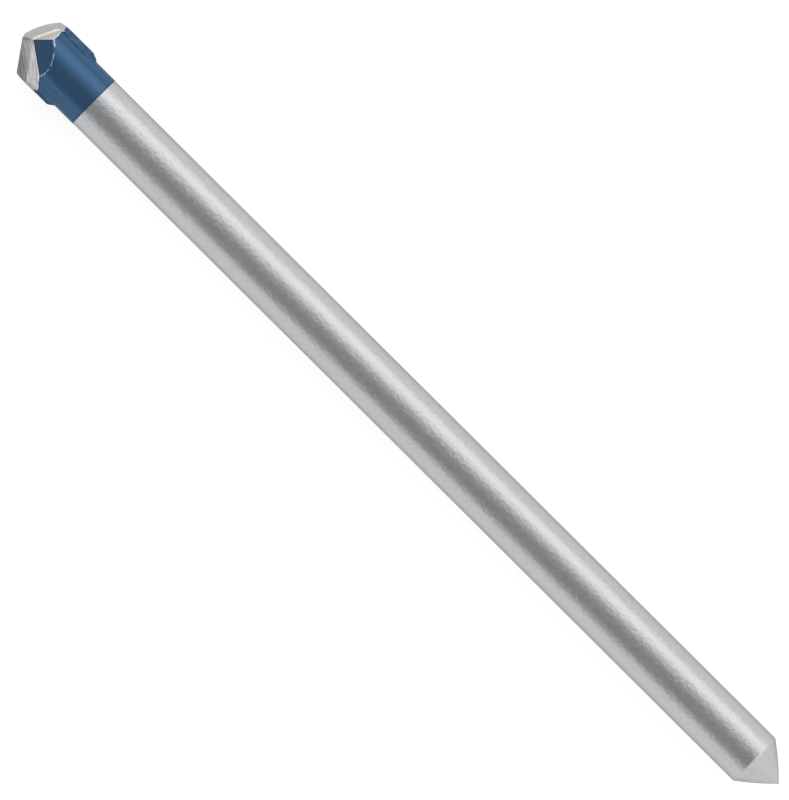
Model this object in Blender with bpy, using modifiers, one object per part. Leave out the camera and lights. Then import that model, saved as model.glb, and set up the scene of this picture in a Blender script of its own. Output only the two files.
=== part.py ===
"""Glass and tile drill bit: a turned steel body with a carbide point brazed into a slot across its head.

The bit lies along X with its point towards +X, and +Z is up. The origin is on the floor under the middle
of its length. The carbide plate lies level, so that its two cutting lips are at the left and the right.

Most shapes are drawn in the point's own frame: the setback behind the tip, the distance sideways and the
height above the bit's axis. The lower jaw and the second lip are the upper ones turned half a turn.
"""

import math

import bmesh
import bpy
from mathutils import Matrix, Vector

MM = 0.001

# Steel body. Its head is a lacquer film wider than its shank
overall_length = 96.8 * MM
shank_diameter = 5.45 * MM
lacquer_thickness = 0.035 * MM
lacquered_length = 8.78 * MM
tail_angle = math.radians(81.4)

# Carbide plate
cutting_diameter = 6.35 * MM
plate_thickness = 1.3 * MM
plate_length = 6.38 * MM
rear_corner_length = 0.55 * MM
rear_corner_depth = 0.44 * MM

# The straight lip is on one side of the tip, and the crowned lip on the other
straight_lip_half_angle = math.radians(54.55)
straight_lip_start = 0.48 * MM
tip_bluntness = 0.12 * MM
crowned_lip_half_angle = math.radians(61.6)
crowned_lip_radius = 6.84 * MM
crowned_lip_inset = 0.145 * MM
crowned_corner_length = 0.36 * MM

# Each lip's relief face is ground back to the web across the middle of the plate
relief_angle = math.radians(44.1)
lip_land = 0.02 * MM
web_start_setback = 0.09 * MM
web_start_offset = 0.3 * MM
web_lean = (-0.09, 0.18)

# The corner where the three ground faces of a steel jaw meet on the plate's face
jaw_corner_setback = 0.94 * MM
jaw_corner_offset = 0.14 * MM

# Each ground face of a jaw falls back by these shares of the distance sideways and away from the plate
jaw_faces = {
    "front": (-0.538, 1.212),
    "shoulder": (0.474, 0.423),
    "flank": (-1 / math.tan(straight_lip_half_angle), math.tan(relief_angle)),
}

# Braze between the plate and its slot
braze_thickness = 0.1 * MM
joint_clearance = 0.02 * MM

# Facets of the turned parts, with one flat facet straight down
turned_sides = 48
margin_sides = 144
arc_steps = 12

# The blank is wider than its round ground margins, and cutters reach far past what they cut
blank_allowance = 0.2 * MM
cutter_reach = 12.0 * MM

shank_radius = shank_diameter / 2
head_radius = shank_radius + lacquer_thickness
cutting_radius = cutting_diameter / 2
blank_half_width = cutting_radius + blank_allowance
plate_half = plate_thickness / 2
braze_inner = plate_half + joint_clearance
braze_outer = braze_inner + braze_thickness
slot_half = braze_outer + joint_clearance
seat_back = plate_length + joint_clearance
braze_back = seat_back + braze_thickness
slot_depth = braze_back + joint_clearance

POINT_FRAME = Matrix.Translation((overall_length / 2, 0, head_radius)) @ Matrix.Rotation(math.pi, 4, "Z")
HALF_TURN = Matrix.Rotation(math.pi, 4, "X")


def new_collection(name, hidden=False):
    collection = bpy.data.collections.new(name)
    bpy.context.scene.collection.children.link(collection)
    collection.hide_render = hidden
    return collection


def new_material(name, colour, roughness, metallic):
    material = bpy.data.materials.new(name)
    material.use_nodes = True
    shader = material.node_tree.nodes["Principled BSDF"]
    shader.inputs["Base Color"].default_value = (*colour, 1)
    shader.inputs["Roughness"].default_value = roughness
    shader.inputs["Metallic"].default_value = metallic
    material.diffuse_color = (*colour, 1)
    return material


def link_object(name, mesh, collection):
    obj = bpy.data.objects.new(name, mesh)
    collection.objects.link(obj)
    if collection is cutters:
        obj.display_type = "WIRE"
        obj.hide_render = True
    return obj


def evaluated_mesh(obj):
    graph = bpy.context.evaluated_depsgraph_get()
    return bpy.data.meshes.new_from_object(obj.evaluated_get(graph))


def prism(name, outline, low=-cutter_reach, high=cutter_reach, slide=(0, 0), slide_from=0.0):
    """A flat outline (setback, sideways) filled and extruded from height low to high.

    Each level slides back and sideways by slide times its height above slide_from.
    """
    curve = bpy.data.curves.new(name, "CURVE")
    curve.dimensions = "2D"
    curve.fill_mode = "BOTH"
    curve.extrude = (high - low) / 2
    spline = curve.splines.new("POLY")
    spline.points.add(len(outline) - 1)
    for point, (back, side) in zip(spline.points, outline):
        point.co = (back, side, 0, 1)
    spline.use_cyclic_u = True
    guide = link_object(name + "_outline", curve, cutters)
    mesh = evaluated_mesh(guide)
    bpy.data.objects.remove(guide)

    solid = bmesh.new()
    solid.from_mesh(mesh)
    bmesh.ops.remove_doubles(solid, verts=solid.verts, dist=1e-6)
    bmesh.ops.recalc_face_normals(solid, faces=solid.faces)
    solid.to_mesh(mesh)
    solid.free()

    mesh.transform(Matrix.Translation((0, 0, (high + low) / 2)))
    shear = Matrix.Identity(4)
    shear[0][2], shear[1][2] = slide
    lift = Matrix.Translation((0, 0, slide_from))
    mesh.transform(lift @ shear @ lift.inverted())
    mesh.name = name
    return mesh


def rectangle(front, back, half_width):
    """The outline of a straight-sided shape, the same on both sides of the axis."""
    return [(front, -half_width), (back, -half_width), (back, half_width), (front, half_width)]


def cutter(name, mesh, turned_over=False):
    """A cutter in the point's frame, or the same one turned half a turn about the bit's axis."""
    obj = link_object(name, mesh, cutters)
    obj.matrix_world = POINT_FRAME @ (HALF_TURN if turned_over else Matrix.Identity(4))
    return obj


def boolean(obj, operation, other):
    modifier = obj.modifiers.new(other.name, "BOOLEAN")
    modifier.operation = operation
    modifier.solver = "EXACT"
    modifier.object = other


def turned(name, profile, sides, collection):
    """A profile (radius, setback) turned about the bit's axis, given from the point to the tail.

    The radii are those of the flat facets, so the corners between them stand a little further out.
    """
    corner = 1 / math.cos(math.pi / sides)
    mesh = bpy.data.meshes.new(name)
    points = [(radius * corner, 0, -back) for radius, back in profile]
    mesh.from_pydata(points, [(i, i + 1) for i in range(len(points) - 1)], [])
    obj = link_object(name, mesh, collection)
    screw = obj.modifiers.new("turn", "SCREW")
    screw.steps = sides
    screw.render_steps = sides
    screw.use_merge_vertices = True
    screw.merge_threshold = 1e-6
    half_facet = Matrix.Rotation(math.pi / sides, 4, "Z")
    lay_down = Matrix.Rotation(math.pi / 2, 4, "Y")
    obj.matrix_world = Matrix.Translation((overall_length / 2, 0, head_radius)) @ lay_down @ half_facet
    return obj


def finish(obj, material):
    """Applies the cuts, and shades the round faces smooth between the sharp edges that the cuts left."""
    mesh = evaluated_mesh(obj)
    obj.modifiers.clear()
    obj.data = mesh
    mesh.name = obj.name
    mesh.materials.clear()
    mesh.materials.append(material)
    mesh.shade_smooth()
    mesh.set_sharp_from_angle(angle=math.radians(20))


def jaw_cutters():
    """What lies ahead of the three ground faces of the upper jaw, and the same for the lower jaw."""
    for turned_over, place in ((False, "upper"), (True, "lower")):
        for word, (side_fall, height_fall) in jaw_faces.items():
            start = jaw_corner_setback - height_fall * plate_half
            left = (start - side_fall * (cutter_reach + jaw_corner_offset), -cutter_reach)
            right = (start + side_fall * (cutter_reach - jaw_corner_offset), cutter_reach)
            front = -2 * cutter_reach
            outline = [left, right, (front, cutter_reach), (front, -cutter_reach)]
            name = f"{place}_jaw_{word}"
            yield cutter(name, prism(name, outline, low=0, slide=(height_fall, 0)), turned_over)


def carried_to_blank(inner, outer):
    """The point where the line from inner through outer meets the side of the unground blank."""
    side = math.copysign(blank_half_width, outer.y)
    return inner + (outer - inner) * (side - inner.y) / (outer.y - inner.y)


def straight_lip():
    """The straight lip, from its blunt inner end to the side of the blank."""
    inner = Vector((tip_bluntness, -straight_lip_start))
    reach = blank_half_width - straight_lip_start
    return [inner, inner + Vector((reach / math.tan(straight_lip_half_angle), -reach))]


def crowned_lip():
    """The crowned lip from the tip outwards: an arc that bulges forwards, then its knocked-off corner."""
    reach = cutting_radius - crowned_lip_inset
    end = Vector((reach / math.tan(crowned_lip_half_angle), reach))
    half_chord = end / 2
    drop = math.sqrt(crowned_lip_radius**2 - half_chord.length_squared)
    centre = half_chord + Vector((half_chord.y, -half_chord.x)).normalized() * drop
    start = math.atan2(-centre.y, -centre.x)
    sweep = -2 * math.asin(half_chord.length / crowned_lip_radius)
    angles = [start + sweep * i / arc_steps for i in range(arc_steps + 1)]
    arc = [centre + crowned_lip_radius * Vector((math.cos(a), math.sin(a))) for a in angles]
    corner = Vector((end.x + crowned_corner_length, cutting_radius))
    return [*arc, carried_to_blank(end, corner)]


def blank_outline():
    """The blank seen from above, from the tip out along the straight lip, round the back and in again."""
    corner_side = cutting_radius - rear_corner_depth
    corner_back = plate_length - rear_corner_length
    left_rear = [Vector((plate_length, -corner_side)), Vector((corner_back, -cutting_radius))]
    right_rear = [Vector((point.x, -point.y)) for point in left_rear]
    rear = [
        carried_to_blank(*left_rear),
        left_rear[0],
        right_rear[0],
        carried_to_blank(*right_rear),
    ]
    return straight_lip() + rear + crowned_lip()[::-1]


def relief_cutter(name, lip, turned_over):
    """What the wheel takes away ahead of one lip's relief face, up to the web that is left at the middle.

    The lip is given on the side where the sideways distance is negative, and the face starts at its
    far edge, on the plate's underside.
    """
    inner, outer = lip[0], lip[-1]
    beyond = outer + (outer - lip[-2]).normalized() * cutter_reach
    before = inner + (inner - lip[1]).normalized() * cutter_reach
    front = [Vector((-cutter_reach, beyond.y)), Vector((-cutter_reach, before.y))]
    land = Vector((lip_land, 0))
    ahead = [point - land for point in (*lip, beyond, *front, before)]
    slope = (math.tan(relief_angle), 0)
    wheel = cutter(name, prism(name, ahead, slide=slope, slide_from=-plate_half), turned_over)

    web_start = Vector((web_start_setback, -web_start_offset))
    web_end = Vector((jaw_corner_setback, jaw_corner_offset))
    along = (web_end - web_start).normalized() * cutter_reach
    far = Vector((0, 2 * cutter_reach))
    kept = [web_start - along, web_end + along, web_end + along + far, web_start - along + far]
    higher = 2 * cutter_reach
    web = prism(name + "_web", kept, -higher, higher, slide=web_lean, slide_from=plate_half)
    boolean(wheel, "DIFFERENCE", cutter(name + "_web", web, turned_over))
    return wheel


def build_carbide_tip():
    plate = prism("carbide_tip", blank_outline(), -plate_half, plate_half)
    obj = link_object("carbide_tip", plate, parts)
    obj.matrix_world = POINT_FRAME
    bar = [
        (0, -cutter_reach),
        (cutting_radius, -cutter_reach),
        (cutting_radius, cutter_reach),
        (0, cutter_reach),
    ]
    boolean(obj, "INTERSECT", turned("round_margins", bar, margin_sides, cutters))
    boolean(obj, "DIFFERENCE", relief_cutter("straight_lip_relief", straight_lip(), False))
    mirrored = [Vector((point.x, -point.y)) for point in crowned_lip()]
    boolean(obj, "DIFFERENCE", relief_cutter("crowned_lip_relief", mirrored, True))
    finish(obj, new_material("sintered_carbide", (0.40, 0.40, 0.40), 0.38, 1.0))


def build_steel_body(jaws):
    tail_length = shank_radius / math.tan(tail_angle / 2)
    profile = [
        (0, 0),
        (head_radius, 0),
        (head_radius, lacquered_length),
        (shank_radius, lacquered_length),
        (shank_radius, overall_length - tail_length),
        (0, overall_length),
    ]
    obj = turned("steel_body", profile, turned_sides, parts)
    slot = prism("slot", rectangle(-cutter_reach, slot_depth, cutter_reach), -slot_half, slot_half)
    boolean(obj, "DIFFERENCE", cutter("slot", slot))
    for jaw in jaws:
        boolean(obj, "DIFFERENCE", jaw)
    finish(obj, new_material("plated_steel", (0.62, 0.62, 0.63), 0.34, 1.0))


def build_braze_joint(jaws):
    half_width = math.sqrt(head_radius**2 - braze_outer**2) - joint_clearance
    lining = prism("braze_joint", rectangle(0, braze_back, half_width), -braze_outer, braze_outer)
    obj = link_object("braze_joint", lining, parts)
    obj.matrix_world = POINT_FRAME
    seat = prism("plate_seat", rectangle(-cutter_reach, seat_back, cutter_reach), -braze_inner, braze_inner)
    boolean(obj, "DIFFERENCE", cutter("plate_seat", seat))
    for jaw in jaws:
        boolean(obj, "DIFFERENCE", jaw)
    finish(obj, new_material("silver_braze", (0.72, 0.66, 0.50), 0.35, 1.0))


for old in list(bpy.data.objects):
    bpy.data.objects.remove(old)

parts = new_collection("glass_and_tile_drill_bit")
cutters = new_collection("cutters", hidden=True)

ground_faces = list(jaw_cutters())
build_steel_body(ground_faces)
build_braze_joint(ground_faces)
build_carbide_tip()
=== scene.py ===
"""Glass and tile drill bit, lying on a pale floor with its point at the upper left of the picture.

The bit lies along X with its point towards +X. Its shapes are worked out in the point's own frame, where
back is the distance behind the tip, side is the distance sideways (towards -Y) and up is the height above
the bit's axis. The two jaws, and the two halves of the point, are the same shape turned half a turn about
that axis.
"""

import math

import bmesh
import bpy
import numpy as np
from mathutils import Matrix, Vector


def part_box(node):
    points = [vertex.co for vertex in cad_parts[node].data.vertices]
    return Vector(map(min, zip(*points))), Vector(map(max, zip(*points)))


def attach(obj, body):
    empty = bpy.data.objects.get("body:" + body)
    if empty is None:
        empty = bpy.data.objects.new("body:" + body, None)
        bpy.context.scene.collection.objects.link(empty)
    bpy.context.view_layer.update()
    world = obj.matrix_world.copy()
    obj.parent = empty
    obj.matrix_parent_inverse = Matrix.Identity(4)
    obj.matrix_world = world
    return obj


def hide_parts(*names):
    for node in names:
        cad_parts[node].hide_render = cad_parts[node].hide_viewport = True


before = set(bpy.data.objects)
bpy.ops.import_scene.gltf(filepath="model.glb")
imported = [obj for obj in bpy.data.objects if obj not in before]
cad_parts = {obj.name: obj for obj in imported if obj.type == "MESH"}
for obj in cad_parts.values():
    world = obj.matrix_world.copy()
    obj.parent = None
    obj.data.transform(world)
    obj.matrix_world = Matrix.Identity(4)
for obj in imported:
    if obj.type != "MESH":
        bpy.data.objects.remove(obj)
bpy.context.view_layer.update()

# Steel body
# The shank, the head and the cone at the tail are turned from one bar and plated, with a satin grain.
# A slot is milled across the head, and each jaw beside it has three faces ground once the plate is in.
MM = 0.001
body_low, body_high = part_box("steel_body")
plate_low, plate_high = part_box("carbide_tip")
tip_x = plate_high.x
axis_z = (body_low.z + body_high.z) / 2
overall_length = plate_high.x - body_low.x
head_radius = (body_high.z - body_low.z) / 2
plate_half = (plate_high.z - plate_low.z) / 2
lacquer_film = 0.035 * MM
steel_radius = head_radius - lacquer_film
slot_half = plate_half + 0.125 * MM
slot_back = 6.52 * MM
tail_length = 3.17 * MM
tail_edge_length = 0.12 * MM
tail_bulge = 0.09 * MM
tail_blunt = 0.04 * MM

# The corner where a jaw's ground faces meet, and how far each falls back for each step sideways and up
jaw_corner = np.array((0.94 * MM, 0.14 * MM, plate_half))
relief_slope = 0.969
front_fall = np.array((-0.538, 1.212))
shoulder_fall = np.array((0.474, 0.423))
flank_fall = np.array((-0.712, relief_slope))
ground_falls = np.stack((front_fall, shoulder_fall, flank_fall))
ground_edge = 0.05 * MM
jaw_rays = 161
turn_steps = 7


def corner_under(film):
    """The jaw corner where the front face lies this deep under its lacquer: three planes solved."""
    depth = np.array((film * math.sqrt(1 + front_fall @ front_fall), 0, 0))
    planes = np.column_stack((np.ones(3), -ground_falls))
    return np.linalg.solve(planes, jaw_corner[0] - ground_falls @ jaw_corner[1:] + depth)


def face_back(side, up, corner=jaw_corner):
    """Setback of a jaw's ground faces: the furthest back of three planes through a corner."""
    from_corner = np.stack((side - corner[1], up - corner[2]))
    return corner[0] + np.max(np.tensordot(ground_falls, from_corner, 1), axis=0)


def with_borders(angles, radius, corner):
    """The angles with two moved to where the front face's borders meet the bar, and which two they are.

    A border leaves the corner square to the difference of its faces' falls, and the place where it meets
    the bar's circle is the larger root of a quadratic.
    """
    angles, moved = angles.copy(), []
    for fall in (flank_fall - front_fall, shoulder_fall - front_fall):
        along = np.array((-fall[1], fall[0])) / np.linalg.norm(fall)
        along = along * np.sign(along[1])
        half = corner[1:] @ along
        reach = -half + math.sqrt(half**2 + radius**2 - corner[1:] @ corner[1:])
        border = math.atan2(*(corner[1:] + reach * along))
        moved.append(int(np.argmin(abs(angles - border))))
        angles[moved[-1]] = border
    return angles, moved


def rounded(before, corner, after, steps):
    """Points of a quadratic curve from before to after that bends towards the corner."""
    t = np.linspace(0, 1, steps)[:, None, None]
    return (1 - t) ** 2 * before + 2 * t * (1 - t) * corner + t**2 * after


def between(start, end, steps):
    """Rows of points spaced evenly on straight lines from start to end, both included."""
    t = np.linspace(0, 1, steps).reshape(-1, *([1] * max(np.ndim(start), np.ndim(end))))
    return (1 - t) * start + t * end


def half_turned(points):
    """The same points turned half a turn about the bit's axis: side and up change sign."""
    return points * (1, -1, -1)


def row_frame(points):
    """Points (back, side, up) in the row frame: X is the tip less back, Y minus side, Z up from the axis."""
    return np.stack((tip_x - points[..., 0], -points[..., 1], axis_z + points[..., 2]), -1)


def piece(name, grids, closed=(), values=None, sharp=28):
    """One object made of grids of points (back, side, up), welded where they share points.

    A grid named in closed joins its last column to its first. Values holds a number for each point of
    each grid, kept on the mesh under its name. Edges that bend by more than sharp degrees stay sharp.
    """
    faces, first = [], 0
    for index, grid in enumerate(grids):
        rows, columns = grid.shape[:2]
        left = np.arange(columns if index in closed else columns - 1)
        right = (left + 1) % columns
        start = first + columns * np.arange(rows - 1)[:, None]
        quads = np.stack((start + left, start + right, start + columns + right, start + columns + left), -1)
        faces.append(quads.reshape(-1, 4))
        first += rows * columns
    points = row_frame(np.concatenate([grid.reshape(-1, 3) for grid in grids]))
    mesh = bpy.data.meshes.new(name)
    mesh.from_pydata(points.tolist(), [], np.concatenate(faces).tolist())
    for word, numbers in (values or {}).items():
        kept = mesh.attributes.new(word, "FLOAT", "POINT")
        kept.data.foreach_set("value", np.concatenate([n.ravel() for n in numbers]).astype(np.float32))
    welded = bmesh.new()
    welded.from_mesh(mesh)
    bmesh.ops.remove_doubles(welded, verts=welded.verts, dist=0.0002 * MM)
    bmesh.ops.recalc_face_normals(welded, faces=welded.faces)
    welded.to_mesh(mesh)
    welded.free()
    mesh.shade_smooth()
    mesh.set_sharp_from_angle(angle=math.radians(sharp))
    obj = bpy.data.objects.new(name, mesh)
    bpy.context.scene.collection.objects.link(obj)
    return obj


def circle_points(back, radius, angles):
    """Points at a setback and a radius, at angles from the top of the bit towards its side."""
    return np.stack(np.broadcast_arrays(back, radius * np.sin(angles), radius * np.cos(angles)), -1)


def tail_profile():
    """Setbacks and radii of the bar and its tail: a cylinder, a rounded edge, a cone and a blunt point.

    The cone's radius falls evenly along it, plus a half wave that makes it bulge a little.
    """
    tail_start = overall_length - tail_length
    slope = steel_radius / tail_length
    before = np.array((tail_start - tail_edge_length, steel_radius))
    after = np.array((tail_start + tail_edge_length, steel_radius - tail_edge_length * slope))
    bar = between(np.array((slot_back, steel_radius)), before, steps=70)
    edge = rounded(before, np.array((tail_start, steel_radius)), after, steps=turn_steps)[:, 0]
    cone = between(edge[-1], np.array((overall_length - tail_blunt, tail_blunt * slope)), steps=24)
    cone[:, 1] += tail_bulge * np.sin(np.linspace(0, math.pi, len(cone)))
    end = np.array((overall_length, 0))
    point = rounded(cone[-1], end + (0, 0.4 * tail_blunt * slope), end, steps=5)[:, 0]
    return np.concatenate((bar, edge[1:], cone[1:], point[1:]))


def steel_grids():
    """The jaws' faces as rays from the jaw corner out to the bar, then the bar itself, slot and tail.

    A ray stops short of the bar, by at most 0.45 of its length, and a curve turns it down onto the bar.
    """
    corner = corner_under(lacquer_film)
    last = math.acos(slot_half / steel_radius)
    angles = with_borders(np.linspace(-last, last, jaw_rays), steel_radius, corner)[0]
    edge = circle_points(0, steel_radius, angles)
    edge[:, 0] = face_back(edge[:, 1], edge[:, 2], corner)
    foot = corner + (edge - corner) * (slot_half - corner[2]) / (edge[:, 2:] - corner[2])
    inward = foot - edge
    reach = np.linalg.norm(inward, axis=1, keepdims=True)
    before = edge + inward * np.minimum(0.45, ground_edge / np.maximum(reach, 1e-9))
    after = edge + (ground_edge, 0, 0)
    slot_end = edge * (0, 1, 1) + (slot_back, 0, 0)
    turn = rounded(before, edge, after, steps=turn_steps)[1:-1]
    outside = np.concatenate((turn, between(after, slot_end, steps=16)))
    jaw = np.concatenate((between(foot, before, steps=22), outside))

    share = (outside[:, :, 0] - edge[:, 0]) / (slot_back - edge[:, 0])
    share = between(share[:, 0], share[:, -1], steps=len(angles)).T[..., None]
    wall = np.concatenate((foot[None], foot + (foot * (0, 1, 1) + (slot_back, 0, 0) - foot) * share))

    strip = np.linspace(angles[-1], math.pi - angles[-1], 21)
    near, far = wall[-1], half_turned(wall[-1])[::-1]
    bulge = np.sin(strip) / math.sin(strip[0])
    floor = between(near, far, steps=len(strip))
    floor[..., 1] *= bulge[:, None]
    floor[..., 2] = steel_radius * np.cos(strip)[:, None]

    ring = np.concatenate((angles[:-1], strip[:-1], angles[:-1] + math.pi, strip[:-1] + math.pi))
    profile = tail_profile()
    body = circle_points(profile[:, :1], profile[:, 1:], ring[None])
    return [jaw, half_turned(jaw), wall, half_turned(wall), floor, body]


steel = piece("steel_shank_and_head", steel_grids(), closed=(5,))


class Socket:
    """An output of a shader node. Arithmetic on it adds a Math node and gives that node's output."""

    def __init__(self, source):
        self.source = source

    def node(self, kind, settings=None, inputs=None, output=0):
        """A new node of the same tree: its settings come first, then the values or links of its sockets."""
        tree = self.source.id_data
        made = tree.nodes.new("ShaderNode" + kind)
        for key, value in (settings or {}).items():
            setattr(made, key, value)
        for key, value in (inputs or {}).items():
            if isinstance(value, Socket):
                tree.links.new(value.source, made.inputs[key])
            else:
                made.inputs[key].default_value = value
        return Socket(made.outputs[output])

    def math(self, operation, first, second=0.0):
        """A Math node's answer for one or two numbers or sockets."""
        return self.node("Math", {"operation": operation}, {0: first, 1: second})

    def __add__(self, other):
        return self.math("ADD", self, other)

    __radd__ = __add__

    def __sub__(self, other):
        return self.math("SUBTRACT", self, other)

    def __rsub__(self, other):
        return self.math("SUBTRACT", other, self)

    def __mul__(self, other):
        return self.math("MULTIPLY", self, other)

    __rmul__ = __mul__

    def __truediv__(self, other):
        return self.math("DIVIDE", self, other)

    def __abs__(self):
        return self.math("ABSOLUTE", self)

    def above(self, start, end):
        """0 up to start and 1 from end on, with a smooth step between."""
        steps = {0: self, 1: start, 2: end, 3: 0.0, 4: 1.0}
        return self.node("MapRange", {"interpolation_type": "SMOOTHSTEP"}, steps)

    def noise(self, scale, detail=2.0, roughness=0.5):
        """Smooth noise from 0 to 1 at these coordinates, with this many swells to the metre."""
        inputs = {"Vector": self, "Scale": scale, "Detail": detail, "Roughness": roughness}
        return self.node("TexNoise", {}, inputs)

    def mix(self, first, second):
        """The first colour where this is 0 and the second where it is 1."""
        return self.node("Mix", {"data_type": "RGBA"}, {0: self, 6: first, 7: second}, output=2)

    def bump(self, height):
        """The normal of a surface raised by this many metres where this is 1."""
        return self.node("Bump", {}, {"Height": self, "Distance": height, "Strength": 1.0})


def finish(name, constants):
    """A new material, its Principled shader with these constants, and its Object coordinates."""
    material = bpy.data.materials.new(name)
    material.use_nodes = True
    shader = material.node_tree.nodes["Principled BSDF"]
    for key, value in constants.items():
        shader.inputs[key].default_value = value
    place = Socket(material.node_tree.nodes.new("ShaderNodeTexCoord").outputs["Object"])
    return material, shader, place


def feed(shader, sockets):
    """Links worked out sockets to the shader."""
    for key, value in sockets.items():
        shader.id_data.links.new(value.source, shader.inputs[key])


def parts_of(place):
    """The X, Y and Z of coordinates, as numbers."""
    split = place.node("SeparateXYZ", {}, {0: place})
    return [Socket(split.source.node.outputs[i]) for i in range(3)]


def grey(value, warmth=0.0):
    """A grey colour, warmer or cooler by a small share."""
    return (value * (1 + warmth), value, value * (1 - warmth), 1)


grinding_lean = 1.25
quarter_step = (0.05, 0.12)


def across_grinding(back, side):
    """How far across the grinding lines a place is, in mm. They run in towards the axis further back."""
    return (back - abs(side) * grinding_lean) / MM


def ground_lines(back, side):
    """Lines that the grinding wheel left on a jaw and the plate: noise drawn out along them."""
    across = across_grinding(back, side)
    along = (back * 0.6 + abs(side) * 0.8) / MM
    drawn_out = across.node("CombineXYZ", {}, {0: across * 7.0, 1: along * 0.45})
    return drawn_out.noise(1.0, detail=3.0, roughness=0.66).above(0.34, 0.64)


def quarter(y, z):
    """Side times up in square mm: above zero on the shoulders' quarters, below it on the flanks'."""
    return y * (axis_z - z) / MM**2


def plated_steel():
    """Satin plating with a fine grain, lined where the jaws are ground: painted light makes the ground
    shoulders brighter and painted shade keeps the ground flanks darker.

    The flank has a painted highlight, a light line where it meets the front face: there the two faces'
    setbacks differ least.
    """
    material, shader, place = finish("plated_steel", {"Metallic": 1.0, "Specular Tint": grey(0.5)})
    x, y, z = parts_of(place)
    back = tip_x - x
    plain = back.above(4.7 * MM, 4.8 * MM)
    ground = 1 - plain
    shoulder = quarter(y, z).above(*quarter_step)
    up = abs(z - axis_z)
    side = y * (axis_z - z) / up
    steeper = front_fall - flank_fall
    apart = ((side - jaw_corner[1]) * steeper[0] + (up - jaw_corner[2]) * steeper[1]) / MM
    # Painted highlight: this mask lightens a thin line of the flank along its border with the front face.
    edge = (1 - abs(apart).above(0.02, 0.045)) * (1 - shoulder)
    grain = place.noise(9000, detail=3.0, roughness=0.6)
    blotch = place.noise(2600, detail=3.0)
    lines = ground_lines(back, y)
    dull_plating, bright_plating = grey(0.41, -0.012), grey(0.63, -0.012)
    plated = (grain * 0.6 + blotch * 0.4).mix(dull_plating, bright_plating)
    # Painted shade and painted light: the ground flank gets a darker grey than the ground shoulder, though
    # both are the same ground steel.
    flank = edge.mix(lines.mix(grey(0.36), grey(0.68)), grey(0.86, -0.03))
    bare = shoulder.mix(flank, lines.mix(grey(0.86, 0.01), grey(0.97, 0.01)))
    feed(shader, {
        "Base Color": ground.mix(plated, bare),
        "Roughness": 0.24 + 0.10 * grain + 0.05 * blotch,
        "Normal": (grain * plain * 2.5 + blotch * plain * 7.0 + lines * ground).bump(0.006 * MM),
    })
    return material


steel.data.materials.append(plated_steel())
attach(steel, "root")
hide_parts("steel_body")


# Carbide plate
# A flat spear point of sintered carbide, pressed to shape and ground. One lip is straight and the other
# crowned, and each relief face is ground back on opposite sides as far as the web between them.
cutting_radius = (plate_high.y - plate_low.y) / 2
margin_film = 0.02 * MM
margin_radius = cutting_radius - margin_film
plate_back = tip_x - plate_low.x
crown_rear, straight_rear = 5.70 * MM, 5.95 * MM
rear_corner_side = cutting_radius - 0.44 * MM
straight_start = np.array((0.12 * MM, -0.48 * MM))
straight_fall = 0.712
crown_end = np.array((1.638 * MM, 3.03 * MM))
crown_radius = 6.84 * MM
crown_corner_length = 0.36 * MM
web_start = np.array((0.09 * MM, -0.3 * MM))
web_lean = np.array((-0.09, 0.18))
plate_levels = 27


def crown_centre():
    """Centre of the crowned lip's arc, which passes through the tip and the lip's outer end."""
    half = crown_end / 2
    off = np.array((half[1], -half[0])) / np.linalg.norm(half)
    return half + off * math.sqrt(crown_radius**2 - half @ half)


def crown_back(side):
    """Setback of the crowned lip: the front of a circle."""
    centre = crown_centre()
    return centre[0] - np.sqrt(crown_radius**2 - (side - centre[1]) ** 2)


def straight_back(side):
    """Setback of the straight lip, on the side where side is negative."""
    return straight_start[0] + straight_fall * (straight_start[1] - side)


def web_meets_crown(start, along, shift):
    """Where the web's wall meets the crowned lip moved back by shift: a root of a quadratic, per level."""
    from_centre = start - crown_centre() - np.stack((shift, 0 * shift), -1)
    half = from_centre @ along
    root = np.sqrt(half**2 - (from_centre**2).sum(-1) + crown_radius**2)
    return start + (-half - root)[:, None] * along


def web_meets_straight(start, along, shift):
    """Where the web's wall meets the straight lip moved back by shift, per level: two lines crossed."""
    gap = straight_back(start[:, 1]) + shift - start[:, 0]
    return start + (gap / (along[0] + straight_fall * along[1]))[:, None] * along


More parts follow.
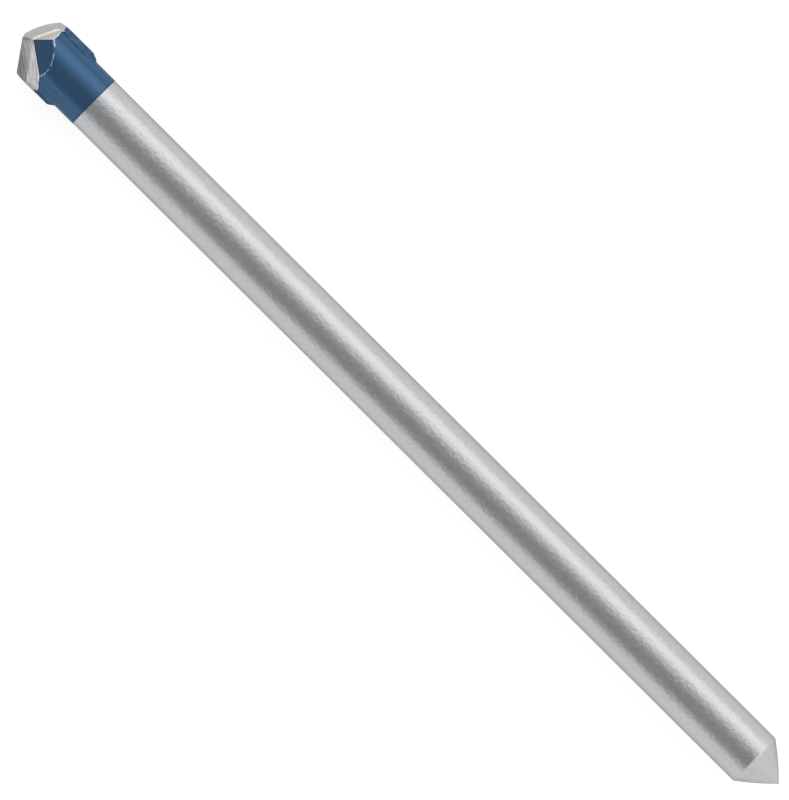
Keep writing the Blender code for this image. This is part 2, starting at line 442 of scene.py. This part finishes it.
def carbide_outline(up):
    """The plate's outline at each level: the tip, round by the crowned lip and the back, and in again.

    The relief moves each lip back by its slope times the height above, or below, its cutting edge. The
    web's walls run back from the tip to where they meet the two relief faces.
    """
    along = jaw_corner[:2] - web_start
    along = along / np.linalg.norm(along)
    flipped = along * (1, -1)
    crown_shift = relief_slope * (plate_half - up)
    straight_shift = relief_slope * (plate_half + up)
    margin = np.sqrt(margin_radius**2 - up**2)
    zero = np.zeros(len(up))

    near_start = web_start + web_lean * (up - plate_half)[:, None]
    far_start = (web_start + web_lean * (-up - plate_half)[:, None]) * (1, -1)
    crown_foot = web_meets_crown(far_start, flipped, zero)
    crown_top = web_meets_crown(far_start, flipped, crown_shift)
    straight_top = web_meets_straight(near_start, along, straight_shift)
    chisel_slope = straight_start[0] / straight_start[1]
    step = (near_start[:, 0] - chisel_slope * near_start[:, 1]) / (chisel_slope * along[1] - along[0])
    straight_foot = near_start + step[:, None] * along

    def lip(back, side_from, side_to, shift, steps):
        """A lip's points: its setback, moved back by shift, over evenly spaced sides."""
        side = between(side_from, side_to, steps)
        return np.stack((back(side) + shift, side), -1)

    def corner(back, side):
        """A corner of the outline, at each level."""
        return np.stack(np.broadcast_arrays(back, side), -1)

    crown_out = corner(crown_end[0] + crown_shift, crown_end[1])
    crown_margin = corner(crown_end[0] + crown_corner_length + crown_shift, margin)
    crown_margin_end = corner(crown_rear, margin)
    crown_back_end = corner(plate_back, zero + rear_corner_side)
    straight_back_end = corner(plate_back, zero - rear_corner_side)
    straight_margin_end = corner(straight_rear, -margin)
    straight_margin = corner(straight_back(-margin) + straight_shift, -margin)
    runs = [
        lip(crown_back, zero, crown_foot[:, 1], zero, steps=8),
        between(crown_foot, crown_top, steps=10),
        lip(crown_back, crown_top[:, 1], crown_out[:, 1], crown_shift, steps=60),
        between(crown_out, crown_margin, steps=5),
        between(crown_margin, crown_margin_end, steps=24),
        between(crown_margin_end, crown_back_end, steps=6),
        between(crown_back_end, straight_back_end, steps=24),
        between(straight_back_end, straight_margin_end, steps=6),
        between(straight_margin_end, straight_margin, steps=24),
        lip(straight_back, -margin, straight_top[:, 1], straight_shift, steps=60),
        between(straight_top, straight_foot, steps=10),
        between(straight_foot, np.zeros((len(up), 2)), steps=6),
    ]
    return np.concatenate([run[:-1] for run in runs])


def carbide_side():
    """The outline carried from the far face of the plate to the near one, with its levels closer there."""
    up = plate_half * np.sin(np.linspace(-math.pi / 2, math.pi / 2, plate_levels))
    outline = carbide_outline(up)
    return np.concatenate((outline, np.broadcast_to(up[None, :, None], (*outline.shape[:2], 1))), -1)


def carbide_piece():
    """The sides come from a grid, and the flat near and far faces are each filled from one outline."""
    obj = piece("carbide_spear_point", [carbide_side().transpose(1, 0, 2)], closed=(0,))
    filled = bmesh.new()
    filled.from_mesh(obj.data)
    bmesh.ops.holes_fill(filled, edges=filled.edges)
    bmesh.ops.triangulate(filled, faces=[face for face in filled.faces if len(face.verts) > 4])
    bmesh.ops.recalc_face_normals(filled, faces=filled.faces)
    filled.to_mesh(obj.data)
    filled.free()
    obj.data.shade_smooth()
    obj.data.set_sharp_from_angle(angle=math.radians(20))
    return obj


carbide = carbide_piece()


def sintered_carbide():
    """Matt on the pressed faces, with ground lines across the relief faces and bright nicks at the lips.

    The nicks keep within 0.3 mm of the crowned lip, whose distance is its radius less that from its centre.
    Each relief face is painted darker near its lip and lighter further back: painted shade and painted
    light.
    """
    material, shader, place = finish("sintered_carbide", {})
    x, y, z = parts_of(place)
    back = tip_x - x
    pressed = abs(z - axis_z).above(plate_half - 0.02 * MM, plate_half - 0.005 * MM)
    lines = ground_lines(back, y)
    mottle = place.noise(5000, detail=3.0, roughness=0.6)
    broad = place.noise(900)
    centre = crown_centre()
    from_centre = place.node("CombineXYZ", {}, {0: back - centre[0], 1: abs(y) - centre[1]})
    centre_distance = from_centre.node("VectorMath", {"operation": "LENGTH"}, {0: from_centre}, output=1)
    near_lip = 1 - (crown_radius - centre_distance).above(0.08 * MM, 0.3 * MM)
    nicks = pressed * near_lip * place.noise(4700).above(0.60, 0.70)
    flat = (mottle * 0.5 + broad * 0.5).mix(grey(0.50), grey(0.66))
    # Painted shade and painted light: across each relief face, dark grey near the lip turns to light grey
    # further back.
    dark = lines.mix(grey(0.10), grey(0.31))
    light = lines.mix(grey(0.23), grey(0.60))
    relief = across_grinding(back, y).above(-1.1, 0.5).mix(dark, light)
    feed(shader, {
        "Base Color": nicks.mix(pressed.mix(relief, flat), grey(0.85)),
        "Metallic": 0.85 - 0.45 * pressed,
        "Roughness": 0.42 + 0.12 * mottle,
        "Normal": (lines * (1 - pressed) * 1.2 + mottle * pressed * 0.5 - nicks * 2.0).bump(0.008 * MM),
    })
    return material


carbide.data.materials.append(sintered_carbide())
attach(carbide, "root")
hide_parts("carbide_tip")


# Braze
# Silver solder that fills the slot round the plate. It stands in a thin line along the foot of each jaw's
# shoulder face and in a fillet where the bar meets the plate. The lining of the slot is the model's own.
line_size = 0.3 * MM
line_end = 2.62 * MM
fillet_end = 6.6 * MM
under_radius = 2.55 * MM
section_back = 3 * MM
least_sine = 1e-3
thinning_back = 5.2 * MM
face_margin_round = 0.14 * MM
rear_corner_round = 0.1 * MM
joint_round = 0.1 * MM
fillet_skin = np.radians(np.linspace(12.4, 32, 40))
fillet_tilts = np.radians(np.arange(0, 60, 0.1))

# Where each of the plate's rear corners begins, and how far its side falls in for each step back
plate_corner = {1: (5.71 * MM, 0.62), -1: (5.97 * MM, 0.82)}

# Sections of the two fillets beside a jaw, side and up in mm: a proud bead by the shoulder and a hollow by
# the flank. Then how uneven each is along the plate, and its share of its height at the rear corner.
bead = (
    (2.44, 1.21), (2.49, 1.255), (2.59, 1.225), (2.70, 1.175), (2.76, 1.0),
    (2.80, 0.93), (2.88, 0.885), (2.94, 0.76), (3.05, 0.67),
)
hollow = ((2.37, 1.42), (2.57, 1.09), (2.74, 0.88), (2.84, 0.80), (2.92, 0.75), (3.00, 0.70), (3.08, 0.655))
fillet_sections = {1: np.array(bead) * MM, -1: np.array(hollow) * MM}
fillet_swells = {1: (0.45, 0.2), -1: (0.3, 0.9)}


def blended(first, second, width):
    """The larger of two lengths, raised by a parabola where they differ by less than the width."""
    near = np.clip(width - abs(first - second), 0, None) / width
    return np.maximum(first, second) + near**2 * width / 4


def fillet_rise(tilt, back, hand):
    """How far a fillet stands above the corner of the bar and the plate, at an angle and a setback.

    Its section's radius less the corner's, smoothed over the angles, then scaled along the plate: it
    swells and thins in two waves, is small at the rear corner, and is gone behind it.
    """
    side, up = fillet_sections[hand].T
    uneven, at_corner = fillet_swells[hand]
    order = np.argsort(np.arctan2(up, side))
    radius = np.interp(fillet_tilts, np.arctan2(up, side)[order], np.hypot(side, up)[order], 0, 0)
    corner = np.maximum(steel_radius, plate_half / np.maximum(np.sin(fillet_tilts), least_sine))
    window = np.hanning(9)
    rise = np.convolve(np.clip(radius - corner, 0, None), window / window.sum(), "same")
    back = back / MM
    swell = 0.93 + uneven * (0.14 * np.sin(4.6 * back + 2) + 0.10 * np.sin(9.1 * back + 2))
    small = np.clip((back - thinning_back / MM) / 1.0, 0, 1)
    gone = np.clip((back - 5.95) / 0.65, 0, 1)
    wander = np.radians(0.9 * np.sin(2.9 * back) + 0.5 * np.sin(6.3 * back + 1))
    scale = (swell * (1 - small) + at_corner * small) * (1 - gone)
    return np.interp(tilt + wander, fillet_tilts, rise) * scale


def head_reach(tilt, back, hand, corner_hand, bar_film, plate_film):
    """Radius of the head at an angle above the plate's level, under films of these thicknesses.

    The larger of the bar's radius and the plate's own reach, raised by the fillet where they meet. The
    plate's reach is the least of what its flat face, its margin and its rear corner allow.
    """
    margin = margin_radius + plate_film
    corner, slope = plate_corner[corner_hand]
    face = (plate_half + plate_film) / np.maximum(np.sin(tilt), least_sine)
    chamfer = (margin - slope * (back - corner)) / np.cos(tilt)
    plate = -blended(-face, np.full_like(face, -margin), face_margin_round)
    plate = -blended(-plate, -chamfer, rear_corner_round)
    joined = blended(plate, np.full_like(plate, steel_radius + bar_film), joint_round)
    return np.minimum(joined + fillet_rise(tilt, back, hand), margin)


def fillet_strip(hand, corner_hand):
    """The fillet on one side of a jaw, closed underneath: its radius over angles and setbacks.

    The outer skin's angles come first, and the same angles in reverse lie under it. At both ends each outer
    point and the one under it are joined by the point halfway between them. The strip starts 0.004 mm proud
    of the ground faces, and its skin lies 0.002 mm under the lacquer's.
    """
    tilt = np.concatenate((fillet_skin, fillet_skin[::-1]))
    under = np.arange(len(tilt)) >= len(fillet_skin)
    at_front = head_reach(tilt, np.full(len(tilt), section_back), hand, corner_hand, 0, 0)
    reach = np.where(under, under_radius, at_front)
    front = face_back(hand * reach * np.cos(tilt), reach * np.sin(tilt)) - 0.004 * MM
    back = between(front, np.full(len(tilt), fillet_end), steps=60)
    reach = head_reach(np.broadcast_to(tilt, back.shape), back, hand, corner_hand, 0, 0) - 0.002 * MM
    reach = np.where(under, under_radius, reach)
    points = np.stack((back, hand * reach * np.cos(tilt), reach * np.sin(tilt)), -1)
    ends = [(points[i] + points[i][::-1])[None] / 2 for i in (0, -1)]
    return np.concatenate((ends[0], points, ends[1]))


def solder_line():
    """A concave line of solder at a jaw's foot: a curve from the plate's face up to the jaw, carried along.

    The path runs from the jaw corner out to the bar. The line's size is a power of a half wave, which
    tapers to nothing at both ends, times two small waves.
    """
    side = np.linspace(jaw_corner[1] - 0.1 * MM, line_end, 80)
    low = np.stack((face_back(side, plate_half + 0 * side), side, plate_half + 0 * side), -1)
    run = np.linspace(0, 1, len(side))
    waves = 0.85 + 0.12 * np.sin(9 * run) + 0.06 * np.sin(23 * run + 1)
    size = line_size * np.sin(math.pi * run) ** 0.4 * waves
    front = low + size[:, None] * (-1, 0, 0) + (0, 0, 0.002 * MM)
    high = low + (size * shoulder_fall[1])[:, None] * (1, 0, 0) + size[:, None] * (0, 0, 1)
    behind = low + (0.1 * MM, 0, -0.01 * MM)
    skin = rounded(front, low + (-0.02 * MM, 0, 0.03 * MM), high, steps=9)
    rear, floor = between(high, behind, steps=3), between(behind, front, steps=3)
    line = np.concatenate((skin, rear[1:], floor[1:]))
    ends = [np.repeat(line[None, :, i].mean(1), len(line), 0)[:, None] for i in (0, -1)]
    return np.concatenate((ends[0], line, ends[1]), axis=1)


solder_grids = [fillet_strip(1, 1), fillet_strip(-1, -1)]
solder_grids += [half_turned(fillet_strip(1, -1)), half_turned(fillet_strip(-1, 1))]
solder_lines = [solder_line(), half_turned(solder_line())]
fillets = piece("braze_fillets", solder_grids + solder_lines, closed=(0, 1, 2, 3), sharp=50)


def silver_braze():
    """Cream coloured silver solder, smooth from the flame, and lined where it was ground with the flank."""
    material, shader, place = finish("silver_braze", {"Metallic": 0.85})
    x, y, z = parts_of(place)
    flow = place.noise(2500, detail=3.0, roughness=0.6)
    fine = place.noise(9000)
    flank = 1 - quarter(y, z).above(*quarter_step)
    smooth = flow.mix((0.62, 0.59, 0.52, 1), (0.88, 0.86, 0.80, 1))
    lined = ground_lines(tip_x - x, y).mix(grey(0.38, 0.02), grey(0.71, 0.02))
    feed(shader, {
        "Base Color": flank.mix(smooth, lined),
        "Roughness": 0.30 + 0.25 * fine,
        "Normal": (flow * 0.8 + fine * 0.3).bump(0.01 * MM),
    })
    return material


braze = silver_braze()
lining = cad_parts["braze_joint"]
lining.data.materials.clear()
lining.data.materials.append(braze)
fillets.data.materials.append(braze)
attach(fillets, "root")


# Lacquer
# A blue film dipped or brushed on the head, up to a straight line across the bar. The faces beside each
# front face were ground after it was on, which cut it back along the plate and left chips along its rim.
lacquered_length = 8.86 * MM
film_wall = 0.03 * MM
ragged_depth = 0.03 * MM
bare_flank = np.array(((3.78, 1.886), (4.05, 2.28), (4.33, 2.55), (4.49, 2.82), (4.19, 3.14))) * MM
bare_shoulder = np.array(((2.3, 2.45), (2.46, 2.66), (2.10, 3.02))) * MM

# Angles above the plate's level, in degrees: most of them lie where the fillets and the plate's margin are
margin_tilts = np.linspace(0, 10, 8)
corner_tilts = np.linspace(10.3, 34, 70)
bar_tilts = np.linspace(35, 90, 56)
ring_tilts = np.radians(np.concatenate((margin_tilts, corner_tilts, bar_tilts)))


def ring_points(angles, back, swap):
    """Points of the film's outer skin at these angles from the top and setbacks, for one jaw's half."""
    tilt = math.pi / 2 - abs(angles)
    tilt = np.broadcast_to(tilt, back.shape)
    right = head_reach(tilt, back, 1, swap, lacquer_film, margin_film)
    left = head_reach(tilt, back, -1, -swap, lacquer_film, margin_film)
    reach = np.where(angles > 0, right, left)
    return np.stack((back, reach * np.sin(angles), reach * np.cos(angles)), -1)


def lacquer_front(points, angles):
    """Where the film starts behind the tip: at the ground faces, or behind them where it was cut back.

    The cut edge is ragged by two waves. Within 10 degrees of the plate's level the start slides from one
    jaw's line to the other's.
    """
    side, up = points[:, 1], points[:, 2]
    start = face_back(side, up)
    for hand, line in ((-1, bare_flank), (1, bare_shoulder)):
        bare = np.interp(hand * side, line[:, 1], line[:, 0])
        start = np.where(hand * side > line[0, 1], np.maximum(start, bare), start)
    ragged = ragged_depth * (np.sin(61 * angles) + 0.6 * np.sin(137 * angles + 1))
    start = start + ragged * (abs(side) > bare_flank[0, 1] + 0.1 * MM)
    level = np.clip(1 - (math.pi / 2 - abs(angles)) / math.radians(10), 0, 1)
    middle = (bare_flank[-1, 0] + bare_shoulder[-1, 0]) / 2
    return start * (1 - level) + middle * level


def lacquer_half(swap):
    """One jaw's half of the film: the sleeve over the bar and the plate, and the fan over the front face.

    The fan's rays run from the jaw corner to the bar, where they turn down onto the sleeve. The sleeve's
    rows are evenly spaced as far as the setback where the fillets begin to thin out, and again behind it.
    """
    angles = np.concatenate((ring_tilts - math.pi / 2, (math.pi / 2 - ring_tilts)[-2::-1]))
    angles, (first, last) = with_borders(angles, head_radius, jaw_corner)
    section = ring_points(angles, np.full(len(angles), section_back), swap)
    start = lacquer_front(section, angles)
    edge = ring_points(angles, start, swap)[first : last + 1]
    inward = jaw_corner - edge
    before = edge + inward / np.linalg.norm(inward, axis=1, keepdims=True) * ground_edge
    after = edge + (ground_edge, 0, 0)
    turn = rounded(before, edge, after, steps=turn_steps)
    fan = np.concatenate((between(jaw_corner, before, steps=26), turn[1:]))
    start[first : last + 1] += ground_edge
    middle = np.full(len(angles), thinning_back)
    end = np.full(len(angles), lacquered_length)
    back = np.concatenate((between(start, middle, steps=34)[:-1], between(middle, end, steps=42)))
    return ring_points(angles, back, swap)[:, :-1], fan, edge


def distances(points, line):
    """Distance from each point to the nearest of a line's points."""
    gaps = points.reshape(-1, 1, 3) - line.reshape(1, -1, 3)
    return np.sqrt((gaps**2).sum(-1).min(1)).reshape(points.shape[:-1])


def lacquer_piece():
    """Both halves, with each point's distance from the rim, which has chips and a painted highlight, and
    from the film's cut edges.

    Cut edges are the front face's borders and the sleeve's front, apart from what lies along the rim.
    """
    grids, rims, cuts, sleeves = [], [], [], []
    for swap, placed in ((1, lambda points: points), (-1, half_turned)):
        sleeve, fan, rim = lacquer_half(swap)
        borders = [between(jaw_corner, rim[i], steps=60) for i in (0, -1)]
        cut = np.concatenate((*borders, sleeve[0][::2]))
        cut = cut[distances(cut, rim) > 0.12 * MM]
        sleeves.append((placed(sleeve), distances(sleeve, rim), distances(sleeve, cut)))
        grids.append(placed(fan))
        rims.append(distances(fan, rim))
        cuts.append(distances(fan, cut))
    points, rim, cut = [np.concatenate(pair, axis=1) for pair in zip(*sleeves)]
    to_end = lacquered_length - points[..., 0]
    values = {"rim": [rim, *rims], "cut": [np.minimum(cut, to_end), *cuts]}
    obj = piece("head_lacquer", [points, *grids], closed=(0,), values=values, sharp=35)
    wall = obj.modifiers.new("film", "SOLIDIFY")
    wall.thickness = film_wall
    wall.offset = -1
    return obj


lacquer = lacquer_piece()


def head_lacquer():
    """Blue lacquer with slight orange peel, darker at its cut edges, and light blue spots along its rim.

    The light blue is partly chips in the film and partly a painted highlight of the rounded rim. It lies
    where noise outweighs the distance from the rim, and is wider and lighter at the shoulder's end.
    """
    constants = {"Metallic": 0.6, "Specular IOR Level": 0.15, "Specular Tint": grey(0.45)}
    material, shader, place = finish("head_lacquer", constants)
    y, z = parts_of(place)[1:]
    rim = place.node("Attribute", {"attribute_name": "rim"}, output=2)
    cut = place.node("Attribute", {"attribute_name": "cut"}, output=2)
    cloud = place.noise(700)
    fine = place.noise(5000, detail=3.0, roughness=0.6)
    chips = place.noise(4200, detail=3.0, roughness=0.6)
    # Partly chips, partly painted highlight: light blue spots along the film's rim also stand for the light
    # caught by its rounded edge.
    shoulder_end = quarter(y, z).above(2.2, 3.2)
    rim_chips_and_highlight = ((chips - 0.40 + 0.2 * shoulder_end) * 0.5 - rim / MM).above(0.0, 0.03)
    rim_chip_and_highlight_colour = shoulder_end.mix((0.32, 0.48, 0.62, 1), (0.36, 0.51, 0.64, 1))
    dark = (1 - cut.above(0.03 * MM, 0.17 * MM)) * 0.7
    blue = cloud.mix((0.046, 0.107, 0.202, 1), (0.054, 0.123, 0.224, 1))
    blue = dark.mix(blue, (0.016, 0.045, 0.11, 1))
    feed(shader, {
        "Base Color": rim_chips_and_highlight.mix(blue, rim_chip_and_highlight_colour),
        "Roughness": 0.15 + 0.06 * fine,
        "Normal": (cloud * 2.0 + fine * 0.25 - rim_chips_and_highlight * 0.8).bump(0.012 * MM),
    })
    return material


lacquer.data.materials.append(head_lacquer())
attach(lacquer, "root")


# Studio
# A pale floor under soft lamps, seen from straight above through a long lens. The floor's glow makes the
# white ground of the picture, so that the lamps can stay at a plain level.
photo_height = 800
pixels_per_mm = 10.992
lens_mm = 1200
sensor_mm = 36
picture_centre = Vector((1.048 * MM, -0.08 * MM, axis_z))
picture_right = Vector((-0.7088, -0.70541, 0)).normalized()
floor_half = 6
floor_glow = 0.83
sky_strength = 0.32

floor_corners = [(-floor_half, -floor_half, 0), (floor_half, -floor_half, 0)]
floor_corners += [(floor_half, floor_half, 0), (-floor_half, floor_half, 0)]
floor_mesh = bpy.data.meshes.new("floor")
floor_mesh.from_pydata(floor_corners, [], [(0, 1, 2, 3)])
floor = bpy.data.objects.new("floor", floor_mesh)
bpy.context.scene.collection.objects.link(floor)


def pale_floor():
    """A pale matt floor that camera, glossy and transmitted rays also see glow a little."""
    material, shader, place = finish("pale_floor", {
        "Base Color": grey(0.29),
        "Roughness": 0.9,
        "Specular IOR Level": 0.0,
        "Emission Strength": floor_glow,
    })
    paths = place.node("LightPath").source.node.outputs
    seen = Socket(paths["Is Camera Ray"]) + Socket(paths["Is Glossy Ray"])
    seen = seen + Socket(paths["Is Transmission Ray"])
    feed(shader, {"Emission Color": seen.mix(grey(0), grey(1))})
    return material


floor_mesh.materials.append(pale_floor())


def soft_lamp(name, away, long_side, short_side, radiance):
    """A rectangular lamp at a place, facing the bit, as bright as a surface of this radiance."""
    lamp = bpy.data.lights.new(name, "AREA")
    lamp.shape = "RECTANGLE"
    lamp.size, lamp.size_y = long_side, short_side
    lamp.energy = radiance * math.pi * long_side * short_side
    obj = bpy.data.objects.new(name, lamp)
    obj.location = away
    obj.rotation_euler = (-away).to_track_quat("-Z", "Y").to_euler()
    bpy.context.scene.collection.objects.link(obj)


# Long lamps beside the bit, each inside the next so that their edges are soft. The angles are those of the
# lamp's middle and half its width, from straight up towards the crowned lip's side.
lamp_distance = 0.8
lamp_length = 2.4
end_lamp_side = 1.0
for name, middle, half, radiance in (
    ("key", 55, 18, 0.62),
    ("key_surround", 50, 30, 0.42),
    ("key_fade", 46.5, 41.5, 0.19),
    ("key_low", 80, 8, 0.36),
    ("fill", -74, 13, 0.56),
    ("fill_fade", -66, 22, 0.22),
):
    towards_lamp = Vector((0, -math.sin(math.radians(middle)), math.cos(math.radians(middle))))
    width = 2 * lamp_distance * math.tan(math.radians(half))
    soft_lamp(name, towards_lamp * lamp_distance, lamp_length, width, radiance)
for name, away, radiance in (("point_end", (0.75, 0, 0.65), 0.7), ("shank_end", (-0.75, 0, 0.45), 0.72)):
    soft_lamp(name, Vector(away), end_lamp_side, end_lamp_side, radiance)

world = bpy.data.worlds.new("studio")
world.use_nodes = True
world.node_tree.nodes["Background"].inputs["Color"].default_value = grey(1)
world.node_tree.nodes["Background"].inputs["Strength"].default_value = sky_strength
scene = bpy.context.scene
scene.world = world
scene.view_settings.view_transform = "Standard"

lens = bpy.data.cameras.new("camera")
lens.lens = lens_mm
lens.sensor_width = sensor_mm
lens.clip_end = 50
camera = bpy.data.objects.new("camera", lens)
scene.collection.objects.link(camera)
camera_distance = lens_mm / sensor_mm * photo_height / pixels_per_mm * MM
camera.location = picture_centre + Vector((0, 0, camera_distance))
camera.rotation_euler = (0, 0, math.atan2(picture_right.y, picture_right.x))
scene.camera = camera
